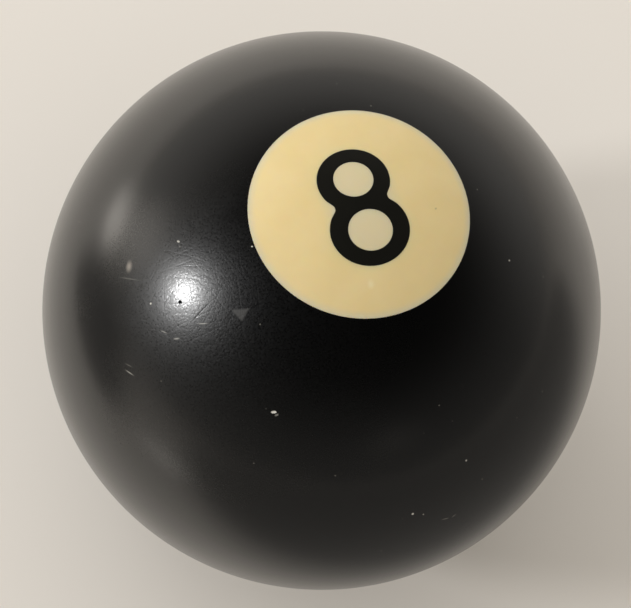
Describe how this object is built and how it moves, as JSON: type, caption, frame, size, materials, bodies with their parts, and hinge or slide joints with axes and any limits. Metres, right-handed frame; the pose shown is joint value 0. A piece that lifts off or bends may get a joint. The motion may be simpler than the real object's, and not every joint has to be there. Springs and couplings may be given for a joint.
{
  "type": "numbered pool ball",
  "caption": "Full-size solid cast-resin pool ball, black, with a cream disc bearing a black numeral let in flush at each end of one axis.",
  "frame": {"origin": "the ball's centre, which is also the centre of its box", "axes": "+Z out through the middle of the top number disc, +Y towards the top of its numeral, +X to the numeral's right"},
  "size_m": [0.0572, 0.0572, 0.0572],
  "materials": {
    "black_body_resin": "cast phenolic resin, ground and polished, dulled by fine hairline wear",
    "cream_disc_resin": "cast phenolic resin, ground and polished flush, yellowed with age, slightly translucent",
    "black_numeral_resin": "cast phenolic resin, ground and polished flush"
  },
  "bodies": {
    "root": {"ball_body": "black_body_resin", "top_number_disc": "cream_disc_resin", "bottom_number_disc": "cream_disc_resin", "top_numeral": "black_numeral_resin", "bottom_numeral": "black_numeral_resin"}
  },
  "joints": []
}
